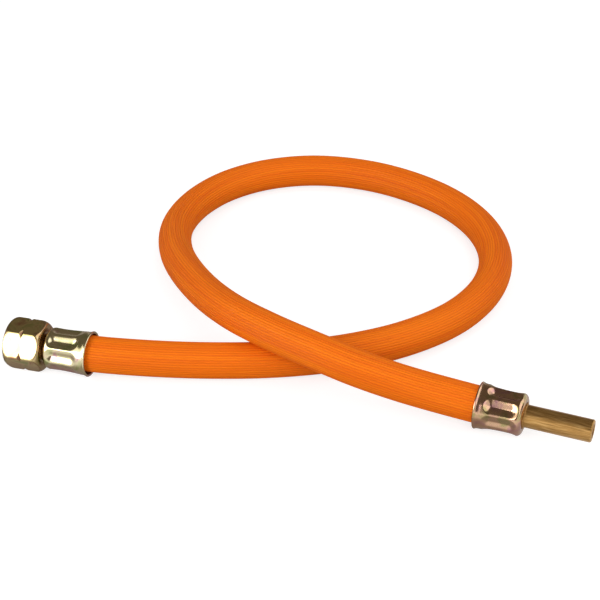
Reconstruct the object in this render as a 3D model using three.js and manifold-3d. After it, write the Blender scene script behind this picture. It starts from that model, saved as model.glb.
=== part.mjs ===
// A flexible hose for bottled gas, lying on a table in one loose loop.
// One end has a hexagonal union nut that spins on a cone nipple, the other a plain pipe stub.
// Millimetres, +Z up. The origin is the middle of the nut's flat that rests on the table,
// and +X runs from the nut's axis into the hose.

import * as THREE from 'three';
import { mergeVertices } from 'three/addons/utils/BufferGeometryUtils.js';
import Module from 'manifold-3d';

const wasm = await Module();
wasm.setup();

// Hose
const hoseRadius = 6.65;
const boreRadius = 3.15;
const hoseSides = 12;
const hoseSteps = 62;
const straightShare = 0.43;
const floorGap = 0.1;

// Clearance between pieces that touch, and round a piece that turns or screws in
const gap = 0.3;
const spinGap = 0.4;
const threadGap = 0.42;

// How far a cutter stands past what it cuts
const cutterOverrun = 1;

// Crimped ferrule, one at each end
const ferruleLength = 16.8;
const ferruleWall = 0.6;
const ferruleEndWall = 0.8;
const lipFlare = 0.45;
const lipLength = 2.6;
const lipLand = 0.8;
const mouthWidening = 0.4;
const mouthCurve = 1.5;
const waistPlace = 10.5;
const shoulderBulge = 0.1;
const shoulderRounding = 2.1;
const insideCorner = 0.4;
const ferruleBore = hoseRadius + gap;
const waistRadius = ferruleBore + ferruleWall;
const shoulderRadius = waistRadius + shoulderBulge;
const lipRadius = waistRadius + mouthWidening + lipFlare;
const dimpleCount = 8;
const dimpleDepth = 0.75;
const dimpleFloorWidth = 2;
const dimpleRimWidth = 5.3;
const dimpleLength = 12.2;
const dimpleMiddleToEnd = 7.4;
const dimpleStations = 9;
const crimpedRadius = ferruleBore - dimpleDepth - gap;
const ferruleFacets = 7 * dimpleCount;

// Union nut
const nutAcrossFlats = 16.8;
const nutLength = 14;
const nutToFerrule = 0.8;
const threadRadius = 5.72;
const nutBackWall = 3;
const endRounding = 1;
const endRoundingLength = 2.8;
const cornerTrim = 0.15;
const notchDepth = 0.77;
const notchWidth = 1.8;
const mouthChamferShare = 0.56;
const faceRadius = nutAcrossFlats / 2 - endRounding;
const cornerRadius = nutAcrossFlats / Math.sqrt(3) - cornerTrim;
const mouthChamfer = (faceRadius - threadRadius) * mouthChamferShare;
const nutFacets = 42;

// Barbed tails of the two nipples, which fill the hose's bore
const tailWall = 0.7;
const barbHeight = 0.32;
const barbPitch = 3.1;
const barbFoot = 0.4;
const barbDrop = 0.45;
const barbCount = 4;
const tailLeadIn = 0.3;
const tailRadius = boreRadius * Math.cos(Math.PI / hoseSides) - gap - barbHeight;
const tailBore = tailRadius - tailWall;
const turnedFacets = 28;

// Cone nipple that seals inside the nut, with a neck through the nut's back and the ferrule's end wall
const seatWidth = 0.8;
const headRimLength = 1.4;
const coneTipRadius = 3;
const coneLength = 3;
const headRadius = threadRadius - threadGap;
const neckRadius = headRadius - seatWidth;
const endWallHole = neckRadius + gap;
const collarRadius = (endWallHole + ferruleBore) / 2;

// Pipe stub for a compression fitting
const stubRadius = 4;
const stubBore = 2.5;
const stubLength = 23.6;
const stubChamfer = 0.4;
const neckShoulder = 0.4;

// Where the two ends lie: the middle of each ferrule's lip, and the way that the fitting points
const pipeEndReach = 164.7;
const pipeEndSide = 5.5;
const nutEndLip = new THREE.Vector3(nutLength / 2 + nutToFerrule + ferruleLength, 0, nutAcrossFlats / 2);
const pipeEndLip = new THREE.Vector3(pipeEndReach, pipeEndSide, lipRadius);
const nutEndTurn = Math.PI;
const pipeEndTurn = THREE.MathUtils.degToRad(-6.6);
const nutEndDimpleTurn = THREE.MathUtils.degToRad(13.4);
const pipeEndDimpleTurn = THREE.MathUtils.degToRad(3.7);

// The free stretch of the hose: x and y, and how many hose diameters it is lifted off the table
const looseRoute = [
  [32.2, 1.4, 0.1], [60.2, 7.4, 0.02], [89.4, 15.8, 0], [112.8, 26.4, 0], [133.4, 41.4, 0],
  [148.8, 60.2, 0], [156.8, 82.4, 0], [156.2, 105.4, 0], [146.4, 127, 0], [127.4, 144.8, 0],
  [98.6, 156.2, 0], [71.4, 156.2, 0], [50.6, 147.4, 0], [36, 133.2, 0], [27.8, 115.2, 0.02],
  [26.6, 92.8, 0.13], [34.2, 69, 0.34], [52, 42, 0.7], [70.2, 24, 0.95], [88.6, 13.4, 1.03],
  [106, 7.8, 0.94], [122.2, 5.6, 0.7], [139.2, 6, 0.39],
];

// Distances along a fitting, from the ferrule's lip outwards
const endWallInside = ferruleLength - ferruleEndWall;
const collarOutside = endWallInside - gap;
const collarInside = collarOutside - gap;
const hoseEnd = collarInside - gap;
const nutBack = ferruleLength + nutToFerrule;
const nutMouth = nutBack + nutLength;

const zincPlate = () => new THREE.MeshStandardMaterial({ color: 0xb3a06a, roughness: 0.28, metalness: 1 });
const brass = () => new THREE.MeshStandardMaterial({ color: 0xb48a3c, roughness: 0.34, metalness: 1 });
const hoseRubber = () => new THREE.MeshStandardMaterial({ color: 0xee7518, roughness: 0.5, metalness: 0 });

// Solids

function turned(profile, facets) {
  const points = profile.map(([along, radius]) => new THREE.Vector2(radius, along));
  points.push(points[0].clone());
  const lathe = new THREE.LatheGeometry(points, facets);
  lathe.rotateZ(-Math.PI / 2);
  return closed(lathe);
}

function closed(geometry) {
  geometry.deleteAttribute('normal');
  geometry.deleteAttribute('uv');
  return mergeVertices(geometry, 1e-4);
}

function solidOf(geometry) {
  const merged = closed(geometry);
  return new wasm.Manifold(new wasm.Mesh({
    numProp: 3,
    vertProperties: new Float32Array(merged.attributes.position.array),
    triVerts: new Uint32Array(merged.index.array),
  }));
}

function geometryOf(solid) {
  const { vertProperties, triVerts } = solid.getMesh();
  const geometry = new THREE.BufferGeometry();
  geometry.setAttribute('position', new THREE.BufferAttribute(new Float32Array(vertProperties), 3));
  geometry.setIndex(new THREE.BufferAttribute(new Uint32Array(triVerts), 1));
  return geometry;
}

function part(name, geometry, material) {
  geometry.computeVertexNormals();
  const mesh = new THREE.Mesh(geometry, material);
  mesh.name = name;
  return mesh;
}

// Union nut: a hexagonal bar, chamfered at both ends, with the notched corners of a left-hand thread

function hexagonalBar() {
  const sharpCorner = nutAcrossFlats / Math.sqrt(3);
  const outline = new THREE.Shape();
  for (let corner = 0; corner < 6; corner++) {
    const angle = (corner + 0.5) * Math.PI / 3;
    const [x, y] = [sharpCorner * Math.cos(angle), sharpCorner * Math.sin(angle)];
    if (corner === 0) outline.moveTo(x, y);
    else outline.lineTo(x, y);
  }
  const bar = new THREE.ExtrudeGeometry(outline, { depth: nutLength, bevelEnabled: false });
  bar.rotateY(Math.PI / 2);
  bar.translate(nutBack, 0, 0);
  return bar;
}

function nutEnvelope() {
  const drop = cornerRadius - faceRadius;
  const rounding = [0, 30, 60, 90].map(THREE.MathUtils.degToRad)
    .map((turn) => [endRoundingLength * (1 - Math.cos(turn)), faceRadius + drop * Math.sin(turn)]);
  const back = rounding.map(([along, radius]) => [nutBack + along, radius]);
  const front = rounding.map(([along, radius]) => [nutMouth - along, radius]).reverse();
  return turned([[nutBack, 0], ...back, ...front, [nutMouth, 0]], nutFacets);
}

function nutBoreCutter() {
  const seat = nutBack + nutBackWall;
  const backHole = neckRadius + spinGap;
  const [start, end] = [nutBack - cutterOverrun, nutMouth + cutterOverrun];
  return turned([
    [start, 0], [start, backHole], [seat, backHole],
    [seat + threadRadius - backHole, threadRadius], [nutMouth - mouthChamfer, threadRadius],
    [end, threadRadius + mouthChamfer + cutterOverrun], [end, 0],
  ], nutFacets);
}

function notchCutter() {
  const middle = nutBack + nutLength / 2;
  const reach = notchDepth + cutterOverrun;
  const half = notchWidth / 2 * reach / notchDepth;
  const floor = cornerRadius - notchDepth;
  return turned([[middle, floor], [middle - half, floor + reach], [middle + half, floor + reach]], nutFacets);
}

function unionNut() {
  const nut = solidOf(hexagonalBar())
    .intersect(solidOf(nutEnvelope()))
    .subtract(solidOf(nutBoreCutter()))
    .subtract(solidOf(notchCutter()));
  return part('union_nut', geometryOf(nut), zincPlate());
}

// Nipples: turned brass, with a barbed tail inside the hose and a collar that holds the ferrule's end wall

function barbedTail() {
  const start = collarInside - (barbCount + barbFoot) * barbPitch;
  const profile = [[start, tailRadius - tailLeadIn]];
  for (let barb = 0; barb < barbCount; barb++) {
    const foot = start + barb * barbPitch;
    profile.push([foot + barbFoot, tailRadius], [foot + barbPitch - barbDrop, tailRadius + barbHeight]);
    profile.push([foot + barbPitch, tailRadius]);
  }
  return profile;
}

function collarAndNeck() {
  return [
    [collarInside, tailRadius], [collarInside, collarRadius], [collarOutside, collarRadius],
    [collarOutside, neckRadius],
  ];
}

function coneNipple() {
  const nutSeat = nutBack + nutBackWall;
  const clearOfSeat = gap * Math.SQRT2 - spinGap;
  const headBack = nutSeat + clearOfSeat;
  const headRim = headBack + headRadius - neckRadius;
  const coneStart = headRim + headRimLength;
  const tail = barbedTail();
  const profile = [
    [tail[0][0], tailBore], ...tail, ...collarAndNeck(),
    [headBack, neckRadius], [headRim, headRadius], [coneStart, headRadius],
    [coneStart + coneLength, coneTipRadius], [coneStart + coneLength, tailBore],
  ];
  return part('cone_nipple', turned(profile, turnedFacets), brass());
}

function pipeStub() {
  const stubRoot = ferruleLength + neckShoulder;
  const tip = ferruleLength + stubLength;
  const tail = barbedTail();
  const profile = [
    [tail[0][0], tailBore], ...tail, ...collarAndNeck(),
    [stubRoot, neckRadius], [stubRoot, stubRadius],
    [tip - stubChamfer, stubRadius], [tip, stubRadius - stubChamfer], [tip, stubBore],
    [stubRoot + stubBore - tailBore, stubBore], [stubRoot, tailBore],
  ];
  return part('pipe_stub', turned(profile, turnedFacets), brass());
}

// Ferrule: a drawn steel cup, flared at its lip, waisted, and pressed in by a ring of long dimples

function smoothStep(low, high, value) {
  const share = THREE.MathUtils.clamp((value - low) / (high - low), 0, 1);
  return share * share * (3 - 2 * share);
}

function dimplePress(along, angle) {
  const pitch = 2 * Math.PI / dimpleCount;
  const turn = angle - pitch * Math.round(angle / pitch);
  const middle = ferruleLength - dimpleMiddleToEnd;
  const spine = dimpleLength / 2 - dimpleRimWidth / 2;
  const pastSpine = Math.max(Math.abs(along - middle) - spine, 0);
  const distance = Math.hypot(pastSpine, turn * waistRadius);
  return dimpleDepth * (1 - smoothStep(dimpleFloorWidth / 2, dimpleRimWidth / 2, distance));
}

function sleeveRadius(along) {
  const towardsLip = Math.max(waistPlace - along, 0) / (waistPlace - lipLength);
  const towardsShoulder = Math.max(along - waistPlace, 0) / (ferruleLength - shoulderRounding - waistPlace);
  const flare = lipFlare * Math.max(1 - along / lipLength, 0) ** mouthCurve;
  const widening = mouthWidening * Math.min(towardsLip, 1) ** mouthCurve;
  return waistRadius + flare + widening + shoulderBulge * Math.min(towardsShoulder, 1) ** 2;
}

function ferruleProfile() {
  const lip = [0, 0.2, 0.5, 1].map((share) => share * lipLength);
  const bodyStart = lipLength + lipLand;
  const bodyEnd = ferruleLength - shoulderRounding - lipLand / 2;
  const body = [];
  for (let station = 0; station < dimpleStations; station++) {
    body.push(bodyStart + (bodyEnd - bodyStart) * station / (dimpleStations - 1));
  }
  const sleeve = [...lip, ...body].map((along) => [along, sleeveRadius(along)]);
  const shoulder = [0, 30, 60, 90].map(THREE.MathUtils.degToRad).map((turn) => [
    ferruleLength - shoulderRounding * (1 - Math.sin(turn)),
    shoulderRadius - shoulderRounding * (1 - Math.cos(turn)),
  ]);
  const inside = sleeve.map(([along, radius]) => [along, radius - ferruleWall]).reverse();
  inside.pop();
  return [
    [0, lipRadius - ferruleWall / 2], ...sleeve, ...shoulder,
    [ferruleLength, endWallHole], [endWallInside, endWallHole],
    [endWallInside, ferruleBore - insideCorner], [endWallInside - insideCorner, ferruleBore],
    ...inside,
  ];
}

function ferrule(name, dimpleTurn) {
  const geometry = turned(ferruleProfile(), ferruleFacets);
  const position = geometry.attributes.position;
  for (let index = 0; index < position.count; index++) {
    const [along, y, z] = [position.getX(index), position.getY(index), position.getZ(index)];
    const radius = Math.hypot(y, z);
    const pressed = radius - dimplePress(along, Math.atan2(z, y));
    position.setXYZ(index, along, y * pressed / radius, z * pressed / radius);
  }
  geometry.rotateX(dimpleTurn);
  return part(name, geometry, zincPlate());
}

// Hose: a thick-walled tube along its route, squeezed where the ferrules are crimped on it

function onFitting(fitting, along) {
  return new THREE.Vector3(along, 0, 0).applyMatrix4(fitting.matrix);
}

function hoseRoute(nutEnd, pipeEnd) {
  const inFerrule = hoseEnd * straightShare;
  const loose = looseRoute.map(([x, y, lift]) => (
    new THREE.Vector3(x, y, floorGap + hoseRadius + lift * 2 * hoseRadius)
  ));
  return new THREE.CatmullRomCurve3([
    onFitting(nutEnd, hoseEnd), onFitting(nutEnd, inFerrule), ...loose,
    onFitting(pipeEnd, inFerrule), onFitting(pipeEnd, hoseEnd),
  ]);
}

function ringPath(radius, Path) {
  const ring = new Path();
  for (let side = 0; side < hoseSides; side++) {
    const angle = side * 2 * Math.PI / hoseSides;
    const [x, y] = [radius * Math.cos(angle), radius * Math.sin(angle)];
    if (side === 0) ring.moveTo(x, y);
    else ring.lineTo(x, y);
  }
  return ring;
}

function squeezeInFerrule(geometry, fitting) {
  const position = geometry.attributes.position;
  const toFitting = fitting.matrix.clone().invert();
  const middleOfWall = (hoseRadius + boreRadius) / 2;
  for (let index = 0; index < position.count; index++) {
    const point = new THREE.Vector3().fromBufferAttribute(position, index).applyMatrix4(toFitting);
    const radius = Math.hypot(point.y, point.z);
    const inFerrule = point.x > -lipLength && point.x < ferruleLength;
    if (!inFerrule || radius < middleOfWall || radius > lipRadius) continue;
    const squeeze = crimpedRadius / hoseRadius;
    point.set(point.x, point.y * squeeze, point.z * squeeze).applyMatrix4(fitting.matrix);
    position.setXYZ(index, point.x, point.y, point.z);
  }
}

function hose(nutEnd, pipeEnd) {
  const section = ringPath(hoseRadius, THREE.Shape);
  section.holes.push(ringPath(boreRadius, THREE.Path));
  const extruded = new THREE.ExtrudeGeometry(section, {
    steps: hoseSteps,
    bevelEnabled: false,
    extrudePath: hoseRoute(nutEnd, pipeEnd),
  });
  const geometry = closed(extruded);
  squeezeInFerrule(geometry, nutEnd);
  squeezeInFerrule(geometry, pipeEnd);
  return part('hose', geometry, hoseRubber());
}

// Assembly

function fittingAt(lip, turn) {
  const fitting = new THREE.Group();
  fitting.position.copy(lip);
  fitting.rotation.z = turn;
  fitting.updateMatrix();
  return fitting;
}

const gasHose = new THREE.Group();
const nutEnd = fittingAt(nutEndLip, nutEndTurn);
const pipeEnd = fittingAt(pipeEndLip, pipeEndTurn);
nutEnd.add(unionNut(), coneNipple(), ferrule('nut_end_ferrule', nutEndDimpleTurn));
pipeEnd.add(ferrule('pipe_end_ferrule', pipeEndDimpleTurn), pipeStub());
gasHose.add(nutEnd, pipeEnd, hose(nutEnd, pipeEnd));

export default gasHose;
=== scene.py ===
"""A flexible gas hose on a table: fluted orange rubber in one loose loop, with a union nut and a pipe stub.

Sizes are in millimetres and are turned to metres when a mesh is made. The row frame has its origin under
the middle of the nut, +X from the nut into the hose and +Z up.
"""

import logging
import math
from dataclasses import dataclass, field
from enum import Enum

import bpy
import numpy as np
from mathutils import Matrix


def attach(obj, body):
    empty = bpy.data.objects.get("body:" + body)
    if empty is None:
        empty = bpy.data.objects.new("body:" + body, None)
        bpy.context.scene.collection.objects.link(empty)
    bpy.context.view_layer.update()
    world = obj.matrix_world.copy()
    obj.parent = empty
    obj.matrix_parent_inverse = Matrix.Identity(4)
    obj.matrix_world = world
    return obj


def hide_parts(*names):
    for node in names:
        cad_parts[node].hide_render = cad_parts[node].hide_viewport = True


logging.basicConfig(level=logging.INFO, format="%(message)s")
log = logging.getLogger("gas_hose")

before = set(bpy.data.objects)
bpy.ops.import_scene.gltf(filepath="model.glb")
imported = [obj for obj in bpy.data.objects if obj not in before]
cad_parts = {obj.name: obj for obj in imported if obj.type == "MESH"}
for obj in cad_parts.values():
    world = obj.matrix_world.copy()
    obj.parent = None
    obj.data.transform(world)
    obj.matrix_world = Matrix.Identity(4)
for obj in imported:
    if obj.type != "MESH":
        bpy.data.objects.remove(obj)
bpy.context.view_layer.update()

MM = 0.001
UP = np.array([0.0, 0.0, 1.0])
# The colour sockets of a mix node, which go by number because its other sockets have the same names
MIX_SHARE, MIX_FIRST, MIX_SECOND, MIX_RESULT = 0, 6, 7, 2


class Body(Enum):
    """The bodies that pieces ride on."""

    HOSE = "hose_body"
    NUT = "nut"


def linear(code: str) -> tuple[float, float, float, float]:
    """Turns an sRGB hex colour to linear red, green, blue and alpha.

    Args:
        code: six hex digits after a hash sign.

    Returns:
        Four numbers, the last of them 1.
    """
    shares = np.array([int(code[place:place + 2], 16) / 255 for place in (1, 3, 5)])
    bent = np.where(shares <= 0.04045, shares / 12.92, ((shares + 0.055) / 1.055) ** 2.4)
    return (*bent.tolist(), 1.0)


def add_node(
    tree: bpy.types.NodeTree,
    kind: str,
    sockets: dict[str | int, object] | None = None,
    links: dict[str | int, bpy.types.NodeSocket] | None = None,
    stops: list[tuple[float, str]] | None = None,
    **settings: object,
) -> bpy.types.Node:
    """Adds a node with its settings, socket values, incoming links and colour stops.

    Args:
        tree: the node tree that gets it.
        kind: the node's type name.
        sockets: values for inputs, by name or number.
        links: sockets to join to inputs, by name or number.
        stops: for a colour ramp, places from 0 to 1, each with its sRGB colour.
        settings: properties of the node itself.

    Returns:
        The new node.
    """
    node = tree.nodes.new(kind)
    for name, value in settings.items():
        setattr(node, name, value)
    for key, value in (sockets or {}).items():
        node.inputs[key].default_value = value
    for key, source in (links or {}).items():
        tree.links.new(source, node.inputs[key])
    if stops:
        elements = node.color_ramp.elements
        for place, _ in stops[1:-1]:
            elements.new(place)
        for element, (place, code) in zip(elements, stops):
            element.position = place
            element.color = linear(code)
    return node


def seen_directly(tree: bpy.types.NodeTree) -> bpy.types.NodeSocket:
    """Tells rays from the camera, from gloss and through glass from the rest.

    Args:
        tree: the node tree that gets the nodes.

    Returns:
        An output that is 1 for those rays and 0 for others.
    """
    rays = add_node(tree, "ShaderNodeLightPath").outputs
    seen = rays["Is Camera Ray"]
    for ray in ("Is Glossy Ray", "Is Transmission Ray"):
        seen = add_node(tree, "ShaderNodeMath", links={0: seen, 1: rays[ray]}, operation="MAXIMUM").outputs[0]
    return seen


def new_material(name: str) -> tuple[bpy.types.Material, bpy.types.NodeTree]:
    """Makes an empty node material with only its output.

    Args:
        name: the material's name.

    Returns:
        The material and its node tree.
    """
    material = bpy.data.materials.new(name)
    material.use_nodes = True
    tree = material.node_tree
    tree.nodes.clear()
    add_node(tree, "ShaderNodeOutputMaterial")
    return material, tree


def finish_material(tree: bpy.types.NodeTree, surface: bpy.types.NodeSocket) -> None:
    """Joins a shader to the material's output.

    Args:
        tree: the material's node tree.
        surface: the shader's output.
    """
    tree.links.new(surface, tree.nodes["Material Output"].inputs["Surface"])


@dataclass(frozen=True)
class FlutedRubber:
    """Orange nitrile rubber, extruded with fine flutes: satin, with a dull bloom in streaks along the hose."""

    crest: str = "#F67B0D"
    mid: str = "#F0720B"
    dull: str = "#E8680C"
    # The colour of the painted shade in the flutes' grooves
    groove: str = "#C84C0A"
    groove_shade_share: float = 0.42
    groove_shade_edge: float = 0.7
    pitch_mm: float = 0.995
    streak_mm: float = 80.0
    streak_width_mm: float = 1.3
    roughness: float = 0.55
    specular: float = 0.08
    grain_mm: float = 0.35
    grain_depth_mm: float = 0.1
    grain_bump: float = 0.12

    def material(self) -> bpy.types.Material:
        """Builds the node material: streaks and painted shade in the grooves on the hose's own UV map, and a
        fine grain.

        The groove colour is painted shade: it comes in where the sine of the way round, in half turns of a
        flute, is near nought.

        Returns:
            The finished material.
        """
        material, tree = new_material("fluted_orange_rubber")
        around_along = add_node(tree, "ShaderNodeUVMap", uv_map="around_along").outputs["UV"]
        stretched = add_node(
            tree, "ShaderNodeMapping",
            {"Scale": (1 / (self.streak_width_mm * MM), 1 / (self.streak_mm * MM), 1)},
            {"Vector": around_along},
        ).outputs["Vector"]
        streaks = add_node(
            tree, "ShaderNodeTexNoise", {"Scale": 1.0, "Detail": 3.0, "Roughness": 0.6}, {"Vector": stretched},
        ).outputs["Fac"]
        bloom = add_node(
            tree, "ShaderNodeValToRGB", links={"Fac": streaks},
            stops=[(0.3, self.dull), (0.48, self.mid), (0.62, self.crest)],
        ).outputs["Color"]
        around = add_node(tree, "ShaderNodeSeparateXYZ", links={"Vector": around_along}).outputs["X"]
        phase = add_node(
            tree, "ShaderNodeMath", {1: math.pi / (self.pitch_mm * MM)}, {0: around}, operation="MULTIPLY",
        ).outputs[0]
        wave = add_node(tree, "ShaderNodeMath", links={0: phase}, operation="SINE").outputs[0]
        height = add_node(tree, "ShaderNodeMath", links={0: wave}, operation="ABSOLUTE").outputs[0]
        # Painted shade: the grooves darken towards the groove colour, most where the flute is lowest
        depth = add_node(
            tree, "ShaderNodeMapRange",
            {"From Max": self.groove_shade_edge, "To Min": self.groove_shade_share, "To Max": 0.0}, {"Value": height},
        ).outputs["Result"]
        colour = add_node(
            tree, "ShaderNodeMix", {MIX_SECOND: linear(self.groove)}, {MIX_SHARE: depth, MIX_FIRST: bloom},
            data_type="RGBA",
        ).outputs[MIX_RESULT]
        place = add_node(tree, "ShaderNodeTexCoord").outputs["Object"]
        grain = add_node(
            tree, "ShaderNodeTexNoise", {"Scale": 1 / (self.grain_mm * MM), "Detail": 2.0}, {"Vector": place},
        ).outputs["Fac"]
        bump = add_node(
            tree, "ShaderNodeBump", {"Strength": self.grain_bump, "Distance": self.grain_depth_mm * MM},
            {"Height": grain},
        ).outputs["Normal"]
        shader = add_node(
            tree, "ShaderNodeBsdfPrincipled",
            {"Roughness": self.roughness, "IOR": 1.5, "Specular IOR Level": self.specular},
            {"Base Color": colour, "Normal": bump},
        )
        finish_material(tree, shader.outputs["BSDF"])
        return material


@dataclass(frozen=True)
class YellowZincPlate:
    """Steel with yellow-passivated zinc plate: glossy, olive gold with pink and green bloom in soft patches."""

    name: str
    gold: str
    pink: str
    green: str
    # The colour of a painted reflection of the table, mixed into the lower side
    underside_reflection: str
    patch_mm: float = 5.0
    roughness: float = 0.16
    turn_deg: float = 0.0
    shift_mm: float = 0.0
    brush_mm: float = 0.12
    brush_stretch: float = 0.06
    brush_depth_mm: float = 0.03
    brush_bump: float = 0.1
    roughness_spread: tuple[float, float] = (0.7, 1.5)
    underside_reflection_mm: tuple[float, float] = (7.0, 1.5)
    underside_reflection_share: float = 0.8
    turned: str = "#8C6450"
    turned_roughness: float = 0.3

    def material(self) -> bpy.types.Material:
        """Builds the node material: bloom patches from one noise and a faint brushing from another.

        The lower side takes the underside colour: a painted reflection of the table under it. Where the
        attribute turned_cut is 1, the steel was turned to shape: browner and duller.

        Returns:
            The finished material.
        """
        material, tree = new_material(self.name)
        place = add_node(tree, "ShaderNodeTexCoord").outputs["Object"]
        turned = add_node(
            tree, "ShaderNodeMapping",
            {"Rotation": (0, 0, math.radians(self.turn_deg)), "Location": (0, 0, self.shift_mm * MM)},
            {"Vector": place},
        ).outputs["Vector"]
        patches = add_node(
            tree, "ShaderNodeTexNoise", {"Scale": 1 / (self.patch_mm * MM), "Detail": 2.0, "Distortion": 0.6},
            {"Vector": turned},
        ).outputs["Fac"]
        bloom = add_node(
            tree, "ShaderNodeValToRGB", links={"Fac": patches},
            stops=[(0.32, self.pink), (0.47, self.gold), (0.53, self.gold), (0.68, self.green)],
        ).outputs["Color"]
        height = add_node(tree, "ShaderNodeSeparateXYZ", links={"Vector": place}).outputs["Z"]
        # Painted reflection: below the given heights the lower side is tinted towards the underside colour, as
        # though it reflected the table
        high, low = self.underside_reflection_mm
        under = add_node(
            tree, "ShaderNodeMapRange",
            {"From Min": high * MM, "From Max": low * MM, "To Max": self.underside_reflection_share},
            {"Value": height}, interpolation_type="SMOOTHSTEP",
        ).outputs["Result"]
        cut = add_node(tree, "ShaderNodeAttribute", attribute_name="turned_cut").outputs["Fac"]
        colour = bloom
        for code, share in ((self.underside_reflection, under), (self.turned, cut)):
            colour = add_node(
                tree, "ShaderNodeMix", {MIX_SECOND: linear(code)}, {MIX_SHARE: share, MIX_FIRST: colour},
                data_type="RGBA",
            ).outputs[MIX_RESULT]
        drawn = add_node(
            tree, "ShaderNodeMapping", {"Scale": (self.brush_stretch, 1, 1)}, {"Vector": turned},
        ).outputs["Vector"]
        brushing = add_node(
            tree, "ShaderNodeTexNoise", {"Scale": 1 / (self.brush_mm * MM), "Detail": 2.0}, {"Vector": drawn},
        ).outputs["Fac"]
        least, most = (self.roughness * factor for factor in self.roughness_spread)
        brushed = add_node(
            tree, "ShaderNodeMapRange", {"To Min": least, "To Max": most}, {"Value": brushing},
        ).outputs["Result"]
        roughness = add_node(
            tree, "ShaderNodeMath", {1: self.turned_roughness}, {0: cut, 2: brushed}, operation="MULTIPLY_ADD",
        ).outputs[0]
        bump = add_node(
            tree, "ShaderNodeBump", {"Strength": self.brush_bump, "Distance": self.brush_depth_mm * MM},
            {"Height": brushing},
        ).outputs["Normal"]
        shader = add_node(
            tree, "ShaderNodeBsdfPrincipled", {"Metallic": 1.0},
            {"Base Color": colour, "Roughness": roughness, "Normal": bump},
        )
        finish_material(tree, shader.outputs["BSDF"])
        return material


@dataclass(frozen=True)
class TurnedBrass:
    """Brass rod, drawn and turned: satin, with streaks along it and slightly tarnished patches."""

    bright: str = "#D8B072"
    mid: str = "#B98C50"
    tarnish: str = "#8E6A3D"
    roughness: float = 0.34
    roughness_spread: tuple[float, float] = (0.75, 1.35)
    turn_deg: float = 0.0
    streak_mm: float = 0.3
    streak_stretch: float = 0.05
    streak_depth_mm: float = 0.04
    streak_bump: float = 0.25

    def material(self) -> bpy.types.Material:
        """Builds the node material: long streaks in colour, roughness and bump.

        Returns:
            The finished material.
        """
        material, tree = new_material("turned_brass")
        place = add_node(tree, "ShaderNodeTexCoord").outputs["Object"]
        turned = add_node(
            tree, "ShaderNodeMapping", {"Rotation": (0, 0, math.radians(self.turn_deg))}, {"Vector": place},
        ).outputs["Vector"]
        drawn = add_node(
            tree, "ShaderNodeMapping", {"Scale": (self.streak_stretch, 1, 1)}, {"Vector": turned},
        ).outputs["Vector"]
        streaks = add_node(
            tree, "ShaderNodeTexNoise", {"Scale": 1 / (self.streak_mm * MM), "Detail": 4.0, "Roughness": 0.6},
            {"Vector": drawn},
        ).outputs["Fac"]
        colour = add_node(
            tree, "ShaderNodeValToRGB", links={"Fac": streaks},
            stops=[(0.3, self.tarnish), (0.5, self.mid), (0.7, self.bright)],
        ).outputs["Color"]
        least, most = (self.roughness * factor for factor in self.roughness_spread)
        roughness = add_node(
            tree, "ShaderNodeMapRange", {"To Min": least, "To Max": most}, {"Value": streaks},
        ).outputs["Result"]
        bump = add_node(
            tree, "ShaderNodeBump", {"Strength": self.streak_bump, "Distance": self.streak_depth_mm * MM},
            {"Height": streaks},
        ).outputs["Normal"]
        shader = add_node(
            tree, "ShaderNodeBsdfPrincipled", {"Metallic": 1.0},
            {"Base Color": colour, "Roughness": roughness, "Normal": bump},
        )
        finish_material(tree, shader.outputs["BSDF"])
        return material


def unit(vectors: np.ndarray) -> np.ndarray:
    """Each vector divided by its own length."""
    return vectors / np.linalg.norm(vectors, axis=-1, keepdims=True)


def smooth_step(low: float, high: float, values: np.ndarray) -> np.ndarray:
    """A rise from 0 at low to 1 at high, level at both: three shares squared less two shares cubed."""
    share = np.clip((values - low) / (high - low), 0, 1)
    return share * share * (3 - 2 * share)


def soft_least(first: np.ndarray, second: np.ndarray, blend: float) -> np.ndarray:
    """The lesser of two heights, with the crease rounded over a width of about blend.

    Where they differ by less than blend, the least is lowered by a quarter of blend times the square of
    one minus the difference over blend.

    Args:
        first: one set of heights.
        second: the other.
        blend: the width of the rounding.

    Returns:
        Heights, as the inputs broadcast.
    """
    closeness = np.clip(1 - np.abs(first - second) / blend, 0, 1)
    return np.minimum(first, second) - closeness ** 2 * blend / 4


def ring_angles(columns: int) -> np.ndarray:
    """Evenly spaced angles once round, without the last that meets the first."""
    return np.arange(columns) * 2 * np.pi / columns


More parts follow.
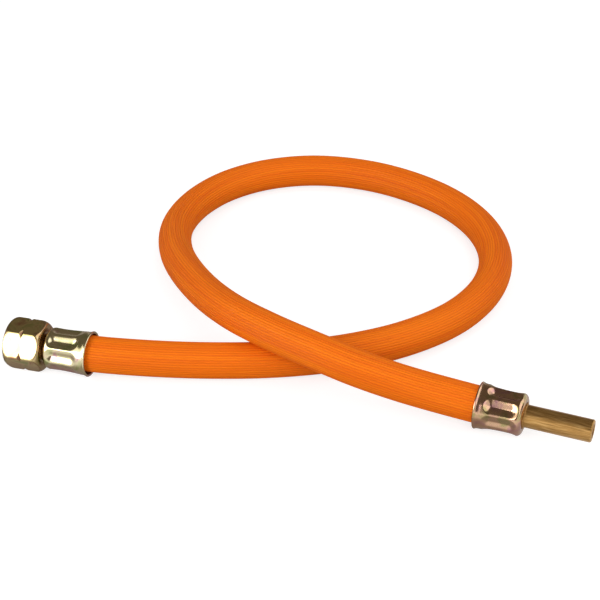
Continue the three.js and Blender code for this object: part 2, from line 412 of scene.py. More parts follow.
def add_surface(
    name: str,
    grid: np.ndarray,
    material: bpy.types.Material,
    around_along: np.ndarray | None = None,
    marks: dict[str, np.ndarray] | None = None,
) -> bpy.types.Object:
    """Makes a mesh object of a grid of points that closes on itself both ways, as a ring's skin does.

    Point (row, column) joins (row + 1, column + 1), and the last row and column join the first.

    Args:
        name: the piece's name.
        grid: rows by columns by three, in millimetres.
        material: its finish.
        around_along: rows by columns and one more by two in millimetres, for the UV map of that name.
        marks: shares from 0 to 1, rows by columns, for attributes that the finish reads.

    Returns:
        The new object, which sits at the origin.
    """
    rows, columns = grid.shape[:2]
    numbers = np.arange(rows * columns).reshape(rows, columns)
    right = np.roll(numbers, -1, axis=1)
    faces = np.stack(
        [numbers, right, np.roll(right, -1, axis=0), np.roll(numbers, -1, axis=0)], axis=-1,
    ).reshape(-1, 4)
    mesh = bpy.data.meshes.new(name)
    mesh.vertices.add(rows * columns)
    mesh.vertices.foreach_set("co", (grid * MM).astype(np.float32).ravel())
    mesh.loops.add(faces.size)
    mesh.loops.foreach_set("vertex_index", faces.astype(np.int32).ravel())
    mesh.polygons.add(len(faces))
    mesh.polygons.foreach_set("loop_start", np.arange(0, faces.size, 4, dtype=np.int32))
    mesh.polygons.foreach_set("use_smooth", np.ones(len(faces), dtype=bool))
    if around_along is not None:
        layer = mesh.uv_layers.new(name="around_along")
        near, far = around_along[:, :-1], around_along[:, 1:]
        corners = np.stack([near, far, np.roll(far, -1, axis=0), np.roll(near, -1, axis=0)], axis=2)
        layer.data.foreach_set("uv", (corners * MM).astype(np.float32).ravel())
    for mark, shares in (marks or {}).items():
        attribute = mesh.attributes.new(mark, "FLOAT", "POINT")
        attribute.data.foreach_set("value", shares.astype(np.float32).ravel())
    mesh.materials.append(material)
    mesh.update(calc_edges=True)
    mesh.validate()
    piece = bpy.data.objects.new(name, mesh)
    bpy.context.collection.objects.link(piece)
    log.info("%s: %d faces", name, len(faces))
    return piece


def add_sheet(name: str, grid: np.ndarray, material: bpy.types.Material) -> bpy.types.Object:
    """Makes an open sheet of a grid of points, for the studio round the object.

    Args:
        name: the sheet's name.
        grid: rows by columns by three, in millimetres.
        material: its finish.

    Returns:
        The new object.
    """
    rows, columns = grid.shape[:2]
    numbers = np.arange(rows * columns).reshape(rows, columns)
    corners = (numbers[:-1, :-1], numbers[:-1, 1:], numbers[1:, 1:], numbers[1:, :-1])
    faces = np.stack(corners, axis=-1).reshape(-1, 4)
    mesh = bpy.data.meshes.new(name)
    mesh.from_pydata((grid * MM).reshape(-1, 3).tolist(), [], faces.tolist())
    mesh.materials.append(material)
    sheet = bpy.data.objects.new(name, mesh)
    bpy.context.collection.objects.link(sheet)
    return sheet


def level_grid(x: tuple[float, float], y: tuple[float, float], height: float = 0.0) -> np.ndarray:
    """The four corners of a level rectangle, as two rows of two points."""
    across, deep = np.meshgrid(x, y)
    return np.stack([across, deep, np.full_like(across, height)], axis=-1)


def rounded(
    points: list[tuple[float, float]], radius: float, steps: int = 4, edge_share: float = 0.45,
) -> np.ndarray:
    """Rounds each corner of a closed outline.

    Each corner gives way to a curve from a point on its first edge to one on its second, both at radius
    from the corner or a little under half the edge: the square-weighted blend of those and the corner.

    Args:
        points: the outline's corners, in order.
        radius: how far from a corner its rounding starts.
        steps: how many stretches the rounding has.
        edge_share: the most of an edge that a rounding takes.

    Returns:
        The rounded outline's points, one row each.
    """
    corners = np.array(points, dtype=float)
    before = np.roll(corners, 1, axis=0) - corners
    after = np.roll(corners, -1, axis=0) - corners
    starts, ends = (
        corners + unit(edge) * np.minimum(radius, np.linalg.norm(edge, axis=1, keepdims=True) * edge_share)
        for edge in (before, after)
    )
    share = np.linspace(0, 1, steps + 1)[None, :, None]
    curve = (
        starts[:, None] * (1 - share) ** 2 + corners[:, None] * 2 * share * (1 - share)
        + ends[:, None] * share ** 2
    )
    return curve.reshape(-1, 2)


@dataclass(frozen=True)
class Fitting:
    """Where an end fitting lies: the middle of its ferrule's lip and the way that it points."""

    lip: tuple[float, float, float]
    turn_deg: float

    @property
    def forward(self) -> np.ndarray:
        """The unit vector from the hose out along the fitting."""
        turn = math.radians(self.turn_deg)
        return np.array([math.cos(turn), math.sin(turn), 0.0])

    @property
    def sideways(self) -> np.ndarray:
        """The level unit vector across the fitting, from which angles are counted towards +Z."""
        return np.cross(UP, self.forward)

    def at(self, along: np.ndarray | float) -> np.ndarray:
        """Points on the axis, that far from the lip."""
        return np.array(self.lip) + np.multiply.outer(along, self.forward)

    def round_it(self, along: np.ndarray, radius: np.ndarray, angle: np.ndarray) -> np.ndarray:
        """Points round the axis: forward by along, and out by radius at an angle from sideways to up.

        Args:
            along: distances from the lip.
            radius: distances from the axis.
            angle: angles round the axis.

        Returns:
            An array of points, one axis more than the inputs broadcast to.
        """
        along, radius, angle = np.broadcast_arrays(along, radius, angle)
        outwards = np.cos(angle)[..., None] * self.sideways + np.sin(angle)[..., None] * UP
        return np.array(self.lip) + along[..., None] * self.forward + radius[..., None] * outwards

    def turned(
        self, name: str, outline: np.ndarray, columns: int, material: bpy.types.Material,
    ) -> bpy.types.Object:
        """Makes a turned piece: its closed outline of (along, radius) carried round the axis.

        Args:
            name: the piece's name.
            outline: the closed outline, clockwise as seen with along to the right and radius up.
            columns: how many steps once round.
            material: its finish.

        Returns:
            The new object.
        """
        grid = self.round_it(outline[:, :1], outline[:, 1:], ring_angles(columns)[None, :])
        return add_surface(name, grid, material)


NUT_END = Fitting(lip=(24.6, 0.0, 8.4), turn_deg=180.0)
PIPE_END = Fitting(lip=(164.7, 5.5, 8.4), turn_deg=-6.6)


@dataclass
class Studio:
    """A pale table under soft lamps, and a camera at the photograph's viewing angle."""

    camera_place: tuple[float, float, float] = (207.88, -407.24, 329.0)
    camera_right: tuple[float, float, float] = (0.96815, 0.25038, 0.0)
    camera_up: tuple[float, float, float] = (-0.14001, 0.54138, 0.82904)
    camera_back: tuple[float, float, float] = (0.20757, -0.80263, 0.55919)
    lens: float = 90.0
    sensor: float = 36.0
    clip_m: tuple[float, float] = (0.01, 20.0)
    middle: tuple[float, float, float] = (100.0, 60.0, 8.0)
    table_half: float = 3000.0
    table_grey: float = 0.46
    table_lift: float = 0.73
    world_level: float = 0.48
    arch_radius: float = 1400.0
    arch_steps: int = 28
    window_x: tuple[float, float] = (650.0, 2600.0)
    wall_radius: float = 700.0
    wall_heights: tuple[float, float] = (40.0, 860.0)
    wall_degrees: tuple[float, float] = (-80.0, -19.0)
    wall_steps: int = 21
    # Where the grey sheet of painted shade lies on the table, seen only in reflections
    table_shade_x: tuple[float, float] = (-2500.0, 240.0)
    table_shade_y: tuple[float, float] = (-60.0, 1450.0)
    table_shade_height: float = 0.02

    def build(self) -> None:
        """Builds the camera, the floor, the world, the lamps and the flags."""
        self.camera()
        self.floor()
        self.world()
        self.lamps()
        self.flags()

    def camera(self) -> None:
        """Adds the camera from its place and its three axes."""
        data = bpy.data.cameras.new("camera")
        data.lens = self.lens
        data.sensor_width = self.sensor
        data.clip_start, data.clip_end = self.clip_m
        camera = bpy.data.objects.new("camera", data)
        axes = Matrix((self.camera_right, self.camera_up, self.camera_back)).transposed().to_4x4()
        camera.matrix_world = Matrix.Translation([value * MM for value in self.camera_place]) @ axes
        bpy.context.collection.objects.link(camera)
        bpy.context.scene.camera = camera
        bpy.context.scene.view_settings.view_transform = "Standard"

    def floor(self) -> None:
        """Adds the table top: matt white that takes the shadow, lifted for camera, gloss and glass rays."""
        material, tree = new_material("pale_table")
        lift = add_node(
            tree, "ShaderNodeMath", {1: self.table_lift}, {0: seen_directly(tree)}, operation="MULTIPLY",
        )
        matt = add_node(tree, "ShaderNodeBsdfDiffuse", {"Color": (*[self.table_grey] * 3, 1)})
        glow = add_node(tree, "ShaderNodeEmission", {"Color": (1, 1, 1, 1)}, {"Strength": lift.outputs[0]})
        both = add_node(tree, "ShaderNodeAddShader", links={0: matt.outputs[0], 1: glow.outputs[0]})
        finish_material(tree, both.outputs[0])
        reach = (-self.table_half, self.table_half)
        add_sheet("table_top", level_grid(reach, reach), material)

    def world(self) -> None:
        """Sets a white world for camera, gloss and glass rays, and a plain soft level for the rest."""
        world = bpy.data.worlds.new("studio_world")
        bpy.context.scene.world = world
        world.use_nodes = True
        tree = world.node_tree
        tree.nodes.clear()
        level = add_node(
            tree, "ShaderNodeMapRange", {"To Min": self.world_level, "To Max": 1.0},
            {"Value": seen_directly(tree)},
        ).outputs["Result"]
        sky = add_node(tree, "ShaderNodeBackground", {"Color": (1, 1, 1, 1)}, {"Strength": level})
        add_node(tree, "ShaderNodeOutputWorld", links={"Surface": sky.outputs[0]})

    def lamp(
        self, name: str, way: tuple[float, float, float], distance: float, size: tuple[float, float],
        watts: float, mirrored: bool = False,
    ) -> None:
        """Adds a soft box that faces the middle of the object.

        Args:
            name: the lamp's name.
            way: the direction from the object's middle to the lamp.
            distance: how far off it is, in millimetres.
            size: its width and height, in millimetres.
            watts: its power.
            mirrored: whether gloss shows it, or only its light falls on the object.
        """
        data = bpy.data.lights.new(name, "AREA")
        data.shape = "RECTANGLE"
        data.size, data.size_y = size[0] * MM, size[1] * MM
        data.energy = watts
        back = unit(np.array(way))
        right = unit(np.cross(UP, back))
        place = (np.array(self.middle) + back * distance) * MM
        axes = Matrix((right, np.cross(back, right), back)).transposed().to_4x4()
        box = bpy.data.objects.new(name, data)
        box.matrix_world = Matrix.Translation(place.tolist()) @ axes
        box.visible_camera = False
        box.visible_glossy = mirrored
        bpy.context.collection.objects.link(box)

    def lamps(self) -> None:
        """Adds the key soft box left of the camera, and fills from the front, the top and the right."""
        self.lamp("key_softbox", (-0.45, -0.8, 0.42), 1000, (400, 440), 3.4, mirrored=True)
        self.lamp("front_softbox", (0.4, -0.8, 0.7), 1000, (500, 500), 2.4)
        self.lamp("top_softbox", (0.25, 0.1, 1.0), 1100, (500, 500), 1.0)
        self.lamp("right_softbox", (1.0, -0.3, 0.45), 1100, (500, 500), 1.7)

    def flag(
        self, name: str, grid: np.ndarray, stops: list[tuple[float, str]], axis: str,
        reach: tuple[float, float], fade: tuple[float, float] | None = None, strength: float = 1.0,
    ) -> None:
        """Adds a sheet that only gloss rays meet, so that metal reflects a studio with light and dark in it.

        Args:
            name: the sheet's name.
            grid: rows by columns by three points, in millimetres.
            stops: places from 0 to 1 between the two ends of reach, each with its sRGB grey.
            axis: the axis, X, Y or Z, along which the grey changes.
            reach: where along that axis it starts and ends to change, in millimetres.
            fade: where along X it fades to white, in millimetres.
            strength: how bright its white is.
        """
        material, tree = new_material(name)
        place = add_node(tree, "ShaderNodeTexCoord").outputs["Object"]
        places = add_node(tree, "ShaderNodeSeparateXYZ", links={"Vector": place}).outputs
        share = add_node(
            tree, "ShaderNodeMapRange", {"From Min": reach[0] * MM, "From Max": reach[1] * MM},
            {"Value": places[axis]},
        ).outputs["Result"]
        colour = add_node(tree, "ShaderNodeValToRGB", links={"Fac": share}, stops=stops).outputs["Color"]
        if fade is not None:
            paler = add_node(
                tree, "ShaderNodeMapRange", {"From Min": fade[0] * MM, "From Max": fade[1] * MM},
                {"Value": places["X"]}, interpolation_type="SMOOTHSTEP",
            ).outputs["Result"]
            colour = add_node(
                tree, "ShaderNodeMix", {MIX_SECOND: linear("#FFFFFF")}, {MIX_SHARE: paler, MIX_FIRST: colour},
                data_type="RGBA",
            ).outputs[MIX_RESULT]
        glow = add_node(tree, "ShaderNodeEmission", {"Strength": strength}, {"Color": colour})
        finish_material(tree, glow.outputs[0])
        sheet = add_sheet(name, grid, material)
        for ray in ("camera", "diffuse", "shadow", "transmission", "volume_scatter"):
            setattr(sheet, f"visible_{ray}", False)

    def arch(self, left: float, right: float, low_deg: float, high_deg: float) -> np.ndarray:
        """A sheet bent round the object's middle, from front over the top to the back.

        Args:
            left: its lesser X, in millimetres.
            right: its greater X.
            low_deg: the angle above the table, in front, at which it starts.
            high_deg: the angle at which it ends, counted the same way, so that 180 is level at the back.

        Returns:
            Rows by two by three points, in millimetres.
        """
        angle = np.radians(np.linspace(low_deg, high_deg, self.arch_steps))[:, None]
        level = self.middle[1] - np.cos(angle) * self.arch_radius
        height = np.sin(angle) * self.arch_radius
        return np.stack(np.broadcast_arrays(np.array([[left, right]]), level, height), axis=-1)

    def flags(self) -> None:
        """Adds a dark canopy with a bright window on its right, a bright wall on the left, and a grey sheet of
        painted shade on the table under the object.
        """
        radius = self.arch_radius
        left, right = self.window_x
        dim = [(0.0, "#9A9288"), (0.3, "#70685C"), (0.45, "#6A6256")]
        white = [(0.0, "#FFFFFF"), (1.0, "#FFFFFF")]
        self.flag("dark_canopy", self.arch(-6000.0, left, 42, 179), dim, "Z", (0.0, radius))
        self.flag("dark_front", self.arch(-40.0, left, 3, 43), dim, "Z", (-radius, radius))
        self.flag("right_window", self.arch(left, right, 34, 140), white, "Z", (0.0, radius), strength=1.7)
        self.flag("dark_side", self.arch(right, 9000.0, 30, 179), dim, "Z", (0.0, radius))
        turn = np.radians(np.linspace(*self.wall_degrees, self.wall_steps))[:, None]
        left_wall = np.stack(np.broadcast_arrays(
            np.sin(turn) * self.wall_radius, -np.cos(turn) * self.wall_radius, np.array([self.wall_heights]),
        ), axis=-1)
        self.flag(
            "left_wall", left_wall,
            [(0.0, "#90908E"), (0.14, "#FFFFFF"), (0.42, "#FFFFFF"), (0.62, "#86847E")],
            "Z", (0.0, self.wall_heights[1]), strength=6.0,
        )
        # Painted shade: a grey sheet over the table under and behind the object, met only by gloss rays, so
        # that metal reflects a shaded table beneath it
        self.flag(
            "reflected_table_shade", level_grid(self.table_shade_x, self.table_shade_y, self.table_shade_height),
            [(0.0, "#FFFFFF"), (0.55, "#A8A09A"), (1.0, "#948C86")], "Y", (-23.0, -5.0), fade=(150.0, 238.0),
        )


@dataclass
class Ferrule:
    """A drawn steel ferrule, flared at its lip and crimped on the hose with a ring of long dimples."""

    name: str
    node: str
    fitting: Fitting
    dimple_turn_deg: float
    finish: YellowZincPlate
    length: float = 16.8
    wall: float = 0.6
    end_wall: float = 0.8
    bore: float = 6.95
    flare: float = 0.75
    flare_curve: float = 3.0
    lip_length: float = 2.6
    lip_bead: float = 0.9
    widening: float = 0.4
    mouth_curve: float = 1.5
    waist_place: float = 10.5
    bulge: float = 0.1
    shoulder: float = 2.1
    end_hole: float = 4.8
    hole_chamfer: float = 0.15
    inner_corner: float = 0.4
    dimple_count: int = 8
    dimple_depth: float = 1.1
    dimple_rim: float = 5.3
    dimple_length: float = 12.2
    dimple_middle_to_end: float = 7.4
    dimple_bottom: float = 0.4
    dimple_crispness: float = 0.6
    lip_degrees: tuple[int, int, int] = (-90, 76, 15)
    lip_rings: int = 12
    body_rings: int = 68
    shoulder_rings: int = 13
    inner_step: int = 3
    columns: int = 288

    @property
    def waist(self) -> float:
        """The outside radius at the waist."""
        return self.bore + self.wall

    def sleeve(self, along: np.ndarray) -> np.ndarray:
        """The outside radius at a distance from the lip.

        It is least at the waist. From there it widens with the power mouth_curve towards the lip, where
        the flare adds to it with the power flare_curve, and with the square towards the shoulder.

        Args:
            along: distances from the lip.

        Returns:
            Radii, one for each distance.
        """
        to_lip = np.clip((self.waist_place - along) / (self.waist_place - self.lip_length), 0, 1)
        body_end = self.length - self.shoulder
        to_shoulder = np.clip((along - self.waist_place) / (body_end - self.waist_place), 0, 1)
        flare = self.flare * np.clip(1 - along / self.lip_length, 0, 1) ** self.flare_curve
        return self.waist + flare + self.widening * to_lip ** self.mouth_curve + self.bulge * to_shoulder ** 2

    def outline(self) -> np.ndarray:
        """Draws the closed outline: the outside from the lip to the end hole, then the inside back.

        The lip is an arc of half the bead's width, the shoulder is a quarter of a circle, and the inside lies
        a wall's thickness under the outside.

        Returns:
            One row of (along, radius) for each point.
        """
        body_end = self.length - self.shoulder
        near = np.linspace(self.lip_bead / 2, self.lip_length, self.lip_rings)
        body = np.linspace(self.lip_length, body_end, self.body_rings)[1:]
        quarter = np.linspace(0, np.pi / 2, self.shoulder_rings)[1:]
        shoulder = np.stack([
            body_end + self.shoulder * np.sin(quarter),
            self.waist + self.bulge - self.shoulder * (1 - np.cos(quarter)),
        ], axis=-1)
        outside = np.concatenate([near, body])
        wall_inside = self.length - self.end_wall
        inside = np.concatenate([near, body[::self.inner_step]])[::-1]
        end = [
            (self.length, self.end_hole + self.hole_chamfer), (self.length - self.hole_chamfer, self.end_hole),
            (wall_inside, self.end_hole), (wall_inside, self.bore - self.inner_corner),
            (wall_inside - self.inner_corner, self.bore),
        ]
        turn = np.radians(np.arange(*self.lip_degrees))
        lip_round = self.lip_bead / 2 * np.stack([1 - np.cos(turn), np.sin(turn) - 1], axis=-1)
        lip_round[:, 1] += self.sleeve(near[:1])
        return np.concatenate([
            lip_round,
            np.stack([outside, self.sleeve(outside)], axis=-1),
            shoulder,
            end,
            np.stack([inside, self.sleeve(inside) - self.wall], axis=-1)[:-2],
        ])

    def press(self, along: np.ndarray, angle: np.ndarray) -> np.ndarray:
        """How deep a point is pressed in.

        Each dimple is a trough with round ends: the depth falls from its bottom to its rim with the distance
        from its spine, which runs along the ferrule, partly in a straight slope and partly in a soft one.
        The distance is rounded near the spine as a hyperbola is, so that the bottom has no crease.

        Args:
            along: distances from the lip.
            angle: angles round the axis.

        Returns:
            Depths, as the inputs broadcast.
        """
        pitch = 2 * np.pi / self.dimple_count
        turn = angle - math.radians(self.dimple_turn_deg)
        turn = turn - pitch * np.round(turn / pitch)
        middle = self.length - self.dimple_middle_to_end
        spine = (self.dimple_length - self.dimple_rim) / 2
        past = np.maximum(np.abs(along - middle) - spine, 0)
        reach = np.sqrt(past ** 2 + (turn * self.waist) ** 2 + self.dimple_bottom ** 2)
        distance = reach - self.dimple_bottom
        edge = self.dimple_rim / 2 - self.dimple_bottom / 2
        straight = np.clip(distance / edge, 0, 1)
        soft = smooth_step(0, edge, distance)
        rise = self.dimple_crispness * straight + (1 - self.dimple_crispness) * soft
        return self.dimple_depth * (1 - rise)

    def build(self) -> bpy.types.Object:
        """Builds the ferrule: its outline carried round, less the depth of the dimples.

        Returns:
            The ferrule's piece.
        """
        outline = self.outline()
        angle = ring_angles(self.columns)[None, :]
        along, radius = outline[:, :1], outline[:, 1:]
        grid = self.fitting.round_it(along, radius - self.press(along, angle), angle)
        piece = add_surface(self.name, grid, self.finish.material())
        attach(piece, Body.HOSE.value)
        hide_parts(self.node)
        return piece


@dataclass
class UnionNut:
    """A hexagonal union nut with rounded ends, notched corners and a thread inside."""

    fitting: Fitting = NUT_END
    back: float = 17.6
    length: float = 14.0
    across_flats: float = 16.8
    face_radius: float = 7.4
    corner_radius: float = 9.55
    rounding_length: float = 2.8
    edge_blend: float = 0.3
    notch_blend: float = 0.1
    notch_depth: float = 0.77
    notch_width: float = 1.8
    back_wall: float = 3.0
    back_hole: float = 4.9
    hole_chamfer: float = 0.3
    thread_radius: float = 5.72
    thread_pitch: float = 1.337
    thread_height: float = 0.5
    thread_slope: float = 1.5
    thread_land: float = 0.25
    thread_runout: tuple[float, float] = (1.2, 2.2)
    thread_to_seat: float = 0.08
    mouth_chamfer: float = 0.94
    edge_mark: float = 0.8
    edge_mark_width: float = 0.5
    edge_mark_rise: float = 0.5
    end_mark: float = 0.25
    notch_mark: float = 0.9
    notch_mark_rise: tuple[float, float] = (0.03, 0.3)
    notch_mark_reach: float = 0.7
    inside_mark: float = 0.3
    end_rings: int = 14
    middle_rings: int = 91
    thread_rings: int = 110
    columns: int = 288

    def hexagon(self, angle: np.ndarray) -> np.ndarray:
        """The distance to the flats: half the width across them over the cosine of the turn from a flat.

        Args:
            angle: angles round the axis.

        Returns:
            Radii, one for each angle.
        """
        sixth = np.pi / 3
        turn = angle - np.pi / 2
        turn = turn - sixth * np.round(turn / sixth)
        return self.across_flats / 2 / np.cos(turn)

    def end_share(self, along: np.ndarray) -> np.ndarray:
        """How far into a rounded end a place lies: 0 between the two ends and 1 at either face."""
        from_end = np.minimum(along, self.length - along)
        return np.clip(1 - from_end / self.rounding_length, 0, 1)

    def envelope(self, along: np.ndarray) -> np.ndarray:
        """The turned radius of the rounded ends: a quarter of an ellipse from the corners in to each face."""
        bow = np.sqrt(1 - self.end_share(along) ** 2)
        return self.face_radius + (self.corner_radius - self.face_radius) * bow

    def outside(self, along: np.ndarray, angle: np.ndarray) -> np.ndarray:
        """The outer radius: the least of the hexagon, the rounded ends and the notch's walls.

        Args:
            along: distances from the nut's back.
            angle: angles round the axis.

        Returns:
            Radii, as the inputs broadcast.
        """
        slope = self.notch_depth / (self.notch_width / 2)
        notch = self.corner_radius - self.notch_depth + slope * np.abs(along - self.length / 2)
        outer = soft_least(self.hexagon(angle), self.envelope(along), self.edge_blend)
        return soft_least(outer, notch, self.notch_blend)

    def turned_cut(self, along: np.ndarray, angle: np.ndarray) -> np.ndarray:
        """Where the bar was cut on the lathe: full in the notches, faint at the ends, some at the edges.

        An edge's mark falls off in a straight line with the gap between the flats and the rounded ends. The
        ends' mark grows with how far they cut into the flats, and a notch's with its depth.

        Args:
            along: distances from the nut's back.
            angle: angles round the axis.

        Returns:
            Shares from 0 to 1, as the inputs broadcast.
        """
        flats, envelope = self.hexagon(angle), self.envelope(along)
        near_edge = np.clip(1 - np.abs(flats - envelope) / self.edge_mark_width, 0, 1)
        edge = near_edge * smooth_step(0, self.edge_mark_rise, self.end_share(along)) * self.edge_mark
        ends = np.clip((flats - envelope) / self.notch_depth, 0, 1) * self.end_mark
        depth = (np.minimum(flats, envelope) - self.outside(along, angle)) / self.notch_depth
        at_middle = np.abs(along - self.length / 2) < self.notch_width * self.notch_mark_reach
        in_notch = smooth_step(*self.notch_mark_rise, depth) * at_middle * self.notch_mark
        return np.maximum(np.maximum(edge, ends), in_notch)

    def thread(self, along: np.ndarray, angle: np.ndarray) -> np.ndarray:
        """The thread's radius: ridges that rise one pitch for each turn, the right-hand way.

        A tooth is a triangle wave of the phase, steepened and cut off flat at its crest and root. It runs out
        towards the back wall, and the mouth's chamfer opens at 45 degrees. The real nut's thread is
        left-handed, which the phase with the angle added, not taken off, would give.

        Args:
            along: distances from the nut's back.
            angle: angles round the axis.

        Returns:
            Radii, as the inputs broadcast.
        """
        phase = along / self.thread_pitch - angle / (2 * np.pi)
        ridge = np.abs(2 * (phase - np.floor(phase)) - 1)
        starts, full = self.thread_runout
        runs_in = smooth_step(self.back_wall + starts, self.back_wall + full, along)
        groove = np.clip(ridge * self.thread_slope - self.thread_land, 0, 1)
        mouth = self.thread_radius + np.clip(along - (self.length - self.mouth_chamfer), 0, None)
        return np.maximum(self.thread_radius + self.thread_height * groove * runs_in, mouth)

    def build(self) -> bpy.types.Object:
        """Builds the nut's skin: the outside from back to mouth, then the thread back to the seat and the hole.

        Returns:
            The nut's piece.
        """
        angle = ring_angles(self.columns)[None, :]
        ends = self.rounding_length * (1 - np.cos(np.linspace(0, np.pi / 2, self.end_rings)))
        middle = np.linspace(self.rounding_length, self.length - self.rounding_length, self.middle_rings)[1:-1]
        along = np.concatenate([ends, middle, self.length - ends[::-1]])[:, None]
        outer = self.outside(along, angle)
        seat = self.back_wall + self.thread_radius - self.back_hole
        inside_along = np.linspace(self.length, seat + self.thread_to_seat, self.thread_rings)[:, None]
        inner = self.thread(inside_along, angle)
        hole_along = np.array([seat, self.back_wall, self.hole_chamfer, 0.0])[:, None]
        hole_radius = np.array([
            self.thread_radius, self.back_hole, self.back_hole, self.back_hole + self.hole_chamfer,
        ])
        hole = np.broadcast_to(hole_radius[:, None], (len(hole_radius), self.columns))
        grid = self.fitting.round_it(
            self.back + np.concatenate([along, inside_along, hole_along]),
            np.concatenate([outer, inner, hole]),
            angle,
        )
        inside_cut = np.full((len(grid) - len(along), self.columns), self.inside_mark)
        cut = self.turned_cut(along, angle)
        finish = YellowZincPlate(
            "yellow_zinc_nut", gold="#D8C48C", pink="#C0936C", green="#B0B36C", underside_reflection="#BFA27E",
            patch_mm=4.5, roughness=0.13,
        )
        piece = add_surface(
            "union_nut_skin", grid, finish.material(), marks={"turned_cut": np.concatenate([cut, inside_cut])},
        )
        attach(piece, Body.NUT.value)
        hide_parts("union_nut")
        return piece


@dataclass
class BarbedTail:
    """The barbed tail that both nipples have, inside the hose, and the collar that holds the ferrule."""

    radius: float = 2.42
    bore: float = 1.72
    barb_height: float = 0.32
    barb_pitch: float = 3.1
    barb_foot: float = 0.4
    barb_drop: float = 0.45
    barb_count: int = 4
    lead_in: float = 0.3
    collar_inside: float = 15.4
    collar_outside: float = 15.7
    collar_radius: float = 5.87
    neck_radius: float = 4.5

    def outline(self) -> list[tuple[float, float]]:
        """Draws the outside from the bore at the tail's tip to the neck.

        Each barb is a ramp that rises towards the fitting and drops off, so that the hose can't slip back.

        Returns:
            Corners of (along, radius).
        """
        start = self.collar_inside - (self.barb_count + self.barb_foot) * self.barb_pitch
        corners = [(start, self.bore), (start, self.radius - self.lead_in)]
        for barb in range(self.barb_count):
            foot = start + barb * self.barb_pitch
            corners.append((foot + self.barb_foot, self.radius))
            corners.append((foot + self.barb_pitch - self.barb_drop, self.radius + self.barb_height))
            corners.append((foot + self.barb_pitch, self.radius))
        return [
            *corners,
            (self.collar_inside, self.radius), (self.collar_inside, self.collar_radius),
            (self.collar_outside, self.collar_radius), (self.collar_outside, self.neck_radius),
        ]


@dataclass
class ConeNipple:
    """The turned brass nipple whose cone seals inside the nut."""

    fitting: Fitting = NUT_END
    tail: BarbedTail = field(default_factory=BarbedTail)
    head_back: float = 20.624
    head_radius: float = 5.3
    rim_length: float = 1.4
    cone_length: float = 3.0
    cone_tip: float = 3.0
    rounding: float = 0.2
    columns: int = 120

    def build(self) -> bpy.types.Object:
        """Builds the nipple: the tail, the neck, a shoulder at 45 degrees, the rim and the cone.

        Returns:
            The nipple's piece.
        """
        rim = self.head_back + self.head_radius - self.tail.neck_radius
        cone = rim + self.rim_length
        corners = [
            *self.tail.outline(),
            (self.head_back, self.tail.neck_radius), (rim, self.head_radius), (cone, self.head_radius),
            (cone + self.cone_length, self.cone_tip), (cone + self.cone_length, self.tail.bore),
        ]
        outline = rounded(corners, self.rounding)
        piece = self.fitting.turned("cone_nipple_skin", outline, self.columns, TurnedBrass().material())
        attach(piece, Body.HOSE.value)
        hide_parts("cone_nipple")
        return piece


@dataclass
class PipeStub:
    """The plain brass pipe stub for a compression fitting."""

    fitting: Fitting = PIPE_END
    tail: BarbedTail = field(default_factory=BarbedTail)
    root: float = 17.2
    tip: float = 40.4
    radius: float = 4.0
    bore: float = 2.5
    chamfer: float = 0.4
    rounding: float = 0.14
    columns: int = 160

    def build(self) -> bpy.types.Object:
        """Builds the stub: the tail, then the plain pipe with its chamfer and its wider bore.

        Returns:
            The stub's piece.
        """
        corners = [
            *self.tail.outline(),
            (self.root, self.tail.neck_radius), (self.root, self.radius),
            (self.tip - self.chamfer, self.radius), (self.tip, self.radius - self.chamfer),
            (self.tip, self.bore), (self.root + self.bore - self.tail.bore, self.bore),
            (self.root, self.tail.bore),
        ]
        finish = TurnedBrass(turn_deg=-self.fitting.turn_deg)
        outline = rounded(corners, self.rounding)
        piece = self.fitting.turned("pipe_stub_skin", outline, self.columns, finish.material())
        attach(piece, Body.HOSE.value)
        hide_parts("pipe_stub")
        return piece


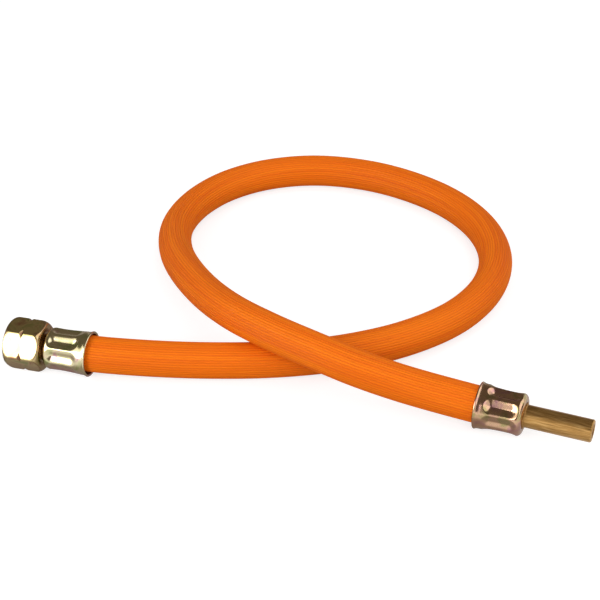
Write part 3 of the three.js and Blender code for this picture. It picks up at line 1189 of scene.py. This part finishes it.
@dataclass
class Hose:
    """The orange rubber hose: a thick-walled fluted tube along its route, narrowed inside the ferrules."""

    radius: float = 6.65
    bore: float = 3.15
    floor_gap: float = 0.1
    end: float = 15.1
    straight_share: float = 0.43
    real_length_m: float = 0.6
    crimped: float = 5.55
    crimp_reach: tuple[float, float] = (4.5, 1.0)
    flutes: int = 42
    flute_depth: float = 0.22
    flute_power: float = 0.7
    columns_per_flute: int = 5
    fine_steps: int = 40
    rings: int = 300
    inner_step: int = 5
    route: tuple[tuple[float, float, float], ...] = (
        (0.0322, 0.0014, 0.1), (0.0602, 0.0074, 0.02), (0.0894, 0.0158, 0), (0.1128, 0.0264, 0),
        (0.1334, 0.0414, 0), (0.1488, 0.0602, 0), (0.1568, 0.0824, 0), (0.1562, 0.1054, 0),
        (0.1464, 0.127, 0), (0.1274, 0.1448, 0), (0.0986, 0.1562, 0), (0.0714, 0.1562, 0),
        (0.0506, 0.1474, 0), (0.036, 0.1332, 0), (0.0278, 0.1152, 0.02), (0.0266, 0.0928, 0.13),
        (0.0342, 0.069, 0.34), (0.052, 0.042, 0.7), (0.0702, 0.024, 0.95), (0.0886, 0.0134, 1.03),
        (0.106, 0.0078, 0.94), (0.1222, 0.0056, 0.7), (0.1392, 0.006, 0.39),
    )

    def knots(self) -> np.ndarray:
        """The points that the hose passes, in millimetres.

        Each point of the route is x and y in metres and its lift off the table in diameters. Two points
        on each fitting's axis keep the ends straight.

        Returns:
            One row for each point, from the nut's end to the pipe's end.
        """
        places = np.array(self.route)
        loose = np.column_stack([
            places[:, :2] / MM, self.floor_gap + self.radius + places[:, 2] * 2 * self.radius,
        ])
        straight = self.end * self.straight_share
        return np.vstack([
            NUT_END.at(self.end), NUT_END.at(straight), loose, PIPE_END.at(straight), PIPE_END.at(self.end),
        ])

    def centreline(self) -> np.ndarray:
        """The smooth line through the knots, at evenly spaced rings.

        Between two knots it is a cubic whose end slopes come from their neighbours, with knots spaced by
        the root of their distance. The fine line is then walked at equal steps.

        Returns:
            One row for each ring, in millimetres.
        """
        knots = self.knots()
        knots = np.vstack([2 * knots[0] - knots[1], knots, 2 * knots[-1] - knots[-2]])
        spacing = np.sqrt(np.linalg.norm(np.diff(knots, axis=0), axis=1))[:, None]
        before, here, after = spacing[:-2], spacing[1:-1], spacing[2:]
        p0, p1, p2, p3 = knots[:-3], knots[1:-2], knots[2:-1], knots[3:]
        slope_1 = here * ((p1 - p0) / before - (p2 - p0) / (before + here) + (p2 - p1) / here)
        slope_2 = here * ((p2 - p1) / here - (p3 - p1) / (here + after) + (p3 - p2) / after)
        share = np.linspace(0, 1, self.fine_steps, endpoint=False)[None, :, None]
        line = (
            p1[:, None] * (2 * share ** 3 - 3 * share ** 2 + 1)
            + slope_1[:, None] * (share ** 3 - 2 * share ** 2 + share)
            + p2[:, None] * (3 * share ** 2 - 2 * share ** 3)
            + slope_2[:, None] * (share ** 3 - share ** 2)
        ).reshape(-1, 3)
        line = np.vstack([line, p2[-1]])
        travelled = np.concatenate([[0], np.cumsum(np.linalg.norm(np.diff(line, axis=0), axis=1))])
        stations = np.linspace(0, travelled[-1], self.rings)
        return np.column_stack([np.interp(stations, travelled, line[:, axis]) for axis in range(3)])

    def build(self) -> bpy.types.Object:
        """Builds the hose's skin, outside and bore in one: a fluted ring carried along the centreline.

        The flutes are the sine of the half turns, without its sign and raised to flute_power, so that the
        ridges are round and the grooves narrow.

        Returns:
            The hose's piece.
        """
        line = self.centreline()
        steps = np.linalg.norm(np.diff(line, axis=0), axis=1)
        travelled = np.concatenate([[0], np.cumsum(steps)])
        length = travelled[-1]
        tangent = unit(np.gradient(line, axis=0))
        side = unit(np.cross(UP, tangent))
        above = np.cross(tangent, side)
        columns = self.flutes * self.columns_per_flute
        angle = ring_angles(columns)[None, :]
        ridge = np.abs(np.sin(angle * self.flutes / 2)) ** self.flute_power
        fluted = self.radius - self.flute_depth * (1 - ridge)
        from_end = np.minimum(travelled, length - travelled)[:, None]
        full, starts = self.crimp_reach
        loose = smooth_step(self.end - full, self.end - starts, from_end)
        outer = fluted * (1 - (1 - self.crimped / self.radius) * (1 - loose))
        inner_rows = np.arange(0, self.rings, self.inner_step)[::-1]
        inner_rows = np.concatenate([[self.rings - 1], inner_rows[inner_rows < self.rings - 1]])
        rows = np.concatenate([np.arange(self.rings), inner_rows])
        radius = np.concatenate([outer, np.full((len(inner_rows), columns), self.bore)])
        outwards = (
            np.cos(angle)[..., None] * side[rows][:, None] + np.sin(angle)[..., None] * above[rows][:, None]
        )
        grid = line[rows][:, None] + radius[..., None] * outwards
        around = np.append(angle, 2 * np.pi)[None, :] * self.radius
        around_along = np.stack(np.broadcast_arrays(around, travelled[rows][:, None]), axis=-1)
        piece = add_surface("hose_skin", grid, FlutedRubber().material(), around_along)
        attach(piece, Body.HOSE.value)
        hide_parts("hose")
        log.info("hose length %.1f mm", length)
        return piece


def main() -> None:
    """Builds the scene in order: camera and hose first, then the fittings."""
    Studio().build()
    hose = Hose()
    skin = hose.build()
    Ferrule(
        "nut_end_ferrule_skin", "nut_end_ferrule", NUT_END, 13.4,
        YellowZincPlate(
            "yellow_zinc_nut_ferrule", gold="#D8CBA4", pink="#CDA6A2", green="#B9BC84", underside_reflection="#D6AEB0",
            shift_mm=3.0,
        ),
    ).build()
    pipe_ferrule = Ferrule(
        "pipe_end_ferrule_skin", "pipe_end_ferrule", PIPE_END, 3.7,
        YellowZincPlate(
            "yellow_zinc_pipe_ferrule", gold="#C9A283", pink="#B98B86", green="#AB9A6C", underside_reflection="#BA8F7A",
            patch_mm=4.0, turn_deg=-PIPE_END.turn_deg,
        ),
    ).build()
    UnionNut().build()
    ConeNipple().build()
    stub = PipeStub().build()


if __name__ == "__main__":
    main()
